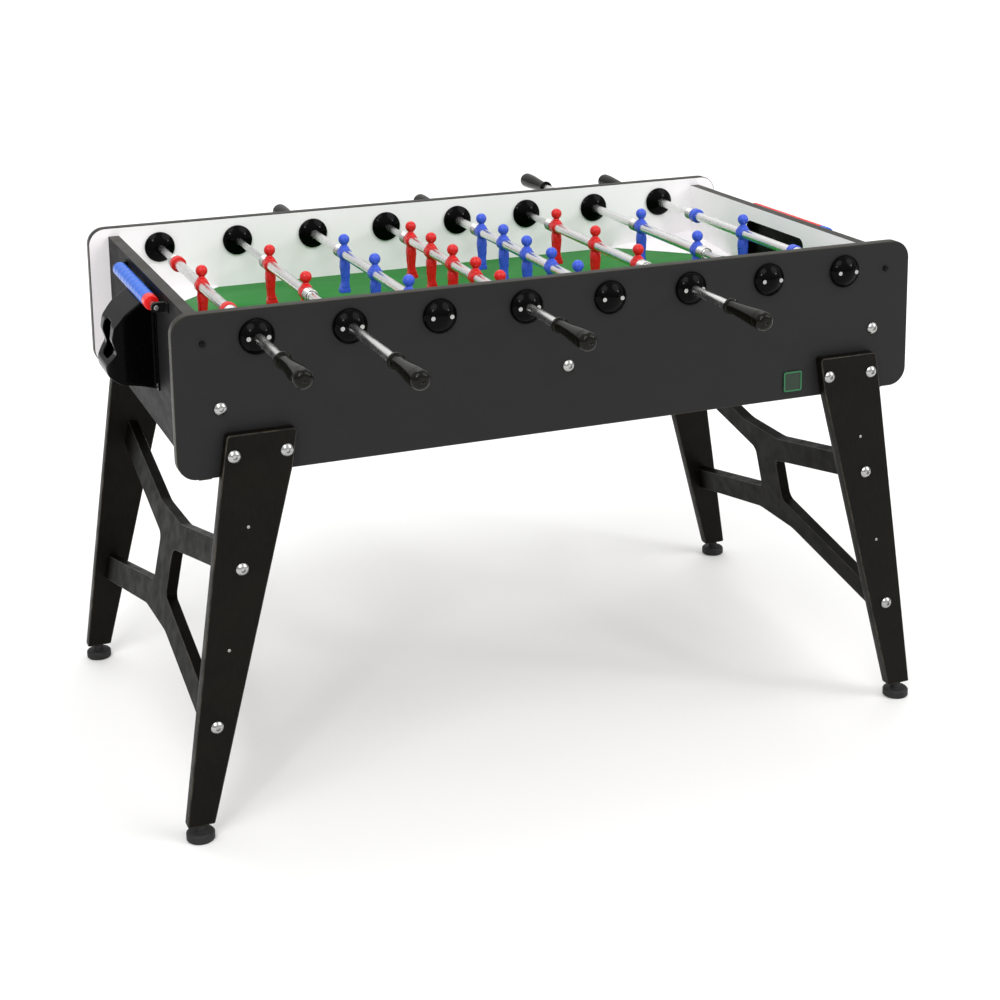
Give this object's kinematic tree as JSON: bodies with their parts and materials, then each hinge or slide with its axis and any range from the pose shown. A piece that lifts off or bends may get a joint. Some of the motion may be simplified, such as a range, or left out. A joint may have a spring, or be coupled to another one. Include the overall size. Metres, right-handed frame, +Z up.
{
  "type": "foosball table",
  "caption": "Foosball table: panelled cabinet on splayed board legs, sliding telescopic rods with red and blue men, end ball cups and bead score counters.",
  "frame": {"origin": "on the floor, below the middle of the table's box at rest", "axes": "+X along the field towards the blue keeper's goal, +Y across the field away from the red team's handles, +Z up"},
  "size_m": [1.4048, 1.4234, 0.857],
  "materials": {
    "grey_laminate": "satin anthracite laminate outside, white laminate towards the field, black edge band",
    "field_green": "low-sheen green playing surface",
    "white_laminate": "smooth white laminate",
    "batten_wood": "raw planed softwood",
    "chute_black": "matte black moulding",
    "cup_black": "glossy black moulding",
    "bearing_black": "glossy black nylon",
    "bright_steel": "bright zinc or chrome plating",
    "leg_board": "textured brown-black board",
    "bracket_black": "matte black moulding",
    "counter_steel": "drawn steel rod",
    "badge_green": "dark green plate with a raised rim, no lettering",
    "foot_black": "black levelling pad",
    "bead_blue": "blue score beads",
    "bead_red": "red score beads",
    "inner_steel": "ground steel rod",
    "tube_chrome": "bright chromed tube",
    "handle_black": "glossy black grip",
    "team_red": "red moulded players",
    "team_blue": "blue moulded players"
  },
  "bodies": {
    "cabinet": {"side_panel_front": "grey_laminate", "side_panel_back": "grey_laminate", "end_panel_left": "grey_laminate", "end_panel_right": "grey_laminate", "playfield": "field_green", "corner_ramps": "white_laminate", "field_battens": "batten_wood", "goal_chutes": "chute_black", "ball_cups": "cup_black", "rod_bearings": "bearing_black", "small_screws": "bright_steel", "dome_bolts": "bright_steel", "end_braces": "leg_board", "counter_brackets": "bracket_black", "counter_rods": "counter_steel", "badge": "badge_green", "leg_front_left": "leg_board", "leg_front_right": "leg_board", "leg_back_left": "leg_board", "leg_back_right": "leg_board"},
    "red_keeper_inner": {"red_keeper_inner_rod": "inner_steel"},
    "red_keeper_rod": {"red_keeper_tube": "tube_chrome", "red_keeper_men": "team_red", "red_keeper_handle": "handle_black"},
    "red_defence_inner": {"red_defence_inner_rod": "inner_steel"},
    "red_defence_rod": {"red_defence_tube": "tube_chrome", "red_defence_men": "team_red", "red_defence_handle": "handle_black"},
    "blue_attack_inner": {"blue_attack_inner_rod": "inner_steel"},
    "blue_attack_rod": {"blue_attack_tube": "tube_chrome", "blue_attack_men": "team_blue", "blue_attack_handle": "handle_black"},
    "red_midfield_inner": {"red_midfield_inner_rod": "inner_steel"},
    "red_midfield_rod": {"red_midfield_tube": "tube_chrome", "red_midfield_men": "team_red", "red_midfield_handle": "handle_black"},
    "blue_midfield_inner": {"blue_midfield_inner_rod": "inner_steel"},
    "blue_midfield_rod": {"blue_midfield_tube": "tube_chrome", "blue_midfield_men": "team_blue", "blue_midfield_handle": "handle_black"},
    "red_attack_inner": {"red_attack_inner_rod": "inner_steel"},
    "red_attack_rod": {"red_attack_tube": "tube_chrome", "red_attack_men": "team_red", "red_attack_handle": "handle_black"},
    "blue_defence_inner": {"blue_defence_inner_rod": "inner_steel"},
    "blue_defence_rod": {"blue_defence_tube": "tube_chrome", "blue_defence_men": "team_blue", "blue_defence_handle": "handle_black"},
    "blue_keeper_inner": {"blue_keeper_inner_rod": "inner_steel"},
    "blue_keeper_rod": {"blue_keeper_tube": "tube_chrome", "blue_keeper_men": "team_blue", "blue_keeper_handle": "handle_black"},
    "foot_front_left": {"foot_front_left": "foot_black"},
    "foot_front_right": {"foot_front_right": "foot_black"},
    "foot_back_left": {"foot_back_left": "foot_black"},
    "foot_back_right": {"foot_back_right": "foot_black"},
    "left_blue_beads": {"left_blue_beads": "bead_blue"},
    "left_red_bead": {"left_red_bead": "bead_red"},
    "right_red_beads": {"right_red_beads": "bead_red"},
    "right_blue_bead": {"right_blue_bead": "bead_blue"}
  },
  "joints": [
    {"name": "red_keeper_turn", "type": "hinge", "parent": "cabinet", "child": "red_keeper_inner", "pos_m": [-0.525, 0, 0.813], "axis": [0, 1, 0], "continuous": true},
    {"name": "red_keeper_slide", "type": "slide", "parent": "red_keeper_inner", "child": "red_keeper_rod", "axis": [0, 1, 0], "range_m": [-0.11051, 0.11549]},
    {"name": "red_defence_turn", "type": "hinge", "parent": "cabinet", "child": "red_defence_inner", "pos_m": [-0.375, 0, 0.813], "axis": [0, 1, 0], "continuous": true},
    {"name": "red_defence_slide", "type": "slide", "parent": "red_defence_inner", "child": "red_defence_rod", "axis": [0, 1, 0], "range_m": [-0.1749, 0.1891]},
    {"name": "blue_attack_turn", "type": "hinge", "parent": "cabinet", "child": "blue_attack_inner", "pos_m": [-0.225, 0, 0.813], "axis": [0, 1, 0], "continuous": true},
    {"name": "blue_attack_slide", "type": "slide", "parent": "blue_attack_inner", "child": "blue_attack_rod", "axis": [0, 1, 0], "range_m": [-0.0764, 0.1576]},
    {"name": "red_midfield_turn", "type": "hinge", "parent": "cabinet", "child": "red_midfield_inner", "pos_m": [-0.075, 0, 0.813], "axis": [0, 1, 0], "continuous": true},
    {"name": "red_midfield_slide", "type": "slide", "parent": "red_midfield_inner", "child": "red_midfield_rod", "axis": [0, 1, 0], "range_m": [-0.04295, 0.09904]},
    {"name": "blue_midfield_turn", "type": "hinge", "parent": "cabinet", "child": "blue_midfield_inner", "pos_m": [0.075, 0, 0.813], "axis": [0, 1, 0], "continuous": true},
    {"name": "blue_midfield_slide", "type": "slide", "parent": "blue_midfield_inner", "child": "blue_midfield_rod", "axis": [0, 1, 0], "range_m": [-0.05652, 0.08548]},
    {"name": "red_attack_turn", "type": "hinge", "parent": "cabinet", "child": "red_attack_inner", "pos_m": [0.225, 0, 0.813], "axis": [0, 1, 0], "continuous": true},
    {"name": "red_attack_slide", "type": "slide", "parent": "red_attack_inner", "child": "red_attack_rod", "axis": [0, 1, 0], "range_m": [-0.1301, 0.1039]},
    {"name": "blue_defence_turn", "type": "hinge", "parent": "cabinet", "child": "blue_defence_inner", "pos_m": [0.375, 0, 0.813], "axis": [0, 1, 0], "continuous": true},
    {"name": "blue_defence_slide", "type": "slide", "parent": "blue_defence_inner", "child": "blue_defence_rod", "axis": [0, 1, 0], "range_m": [-0.1891, 0.1749]},
    {"name": "blue_keeper_turn", "type": "hinge", "parent": "cabinet", "child": "blue_keeper_inner", "pos_m": [0.525, 0, 0.813], "axis": [0, 1, 0], "continuous": true},
    {"name": "blue_keeper_slide", "type": "slide", "parent": "blue_keeper_inner", "child": "blue_keeper_rod", "axis": [0, 1, 0], "range_m": [-0.10159, 0.12441]},
    {"name": "foot_front_left_screw", "type": "slide", "parent": "cabinet", "child": "foot_front_left", "axis": [0, 0, -1], "range_m": [0, 0.012]},
    {"name": "foot_front_right_screw", "type": "slide", "parent": "cabinet", "child": "foot_front_right", "axis": [0, 0, -1], "range_m": [0, 0.012]},
    {"name": "foot_back_left_screw", "type": "slide", "parent": "cabinet", "child": "foot_back_left", "axis": [0, 0, -1], "range_m": [0, 0.012]},
    {"name": "foot_back_right_screw", "type": "slide", "parent": "cabinet", "child": "foot_back_right", "axis": [0, 0, -1], "range_m": [0, 0.012]},
    {"name": "left_blue_beads_slide", "type": "slide", "parent": "cabinet", "child": "left_blue_beads", "axis": [0, 1, 0], "range_m": [0, 0.016]},
    {"name": "left_red_bead_slide", "type": "slide", "parent": "cabinet", "child": "left_red_bead", "axis": [0, 1, 0], "range_m": [-0.026, 0]},
    {"name": "right_red_beads_slide", "type": "slide", "parent": "cabinet", "child": "right_red_beads", "axis": [0, 1, 0], "range_m": [0, 0.016]},
    {"name": "right_blue_bead_slide", "type": "slide", "parent": "cabinet", "child": "right_blue_bead", "axis": [0, 1, 0], "range_m": [-0.026, 0]}
  ]
}
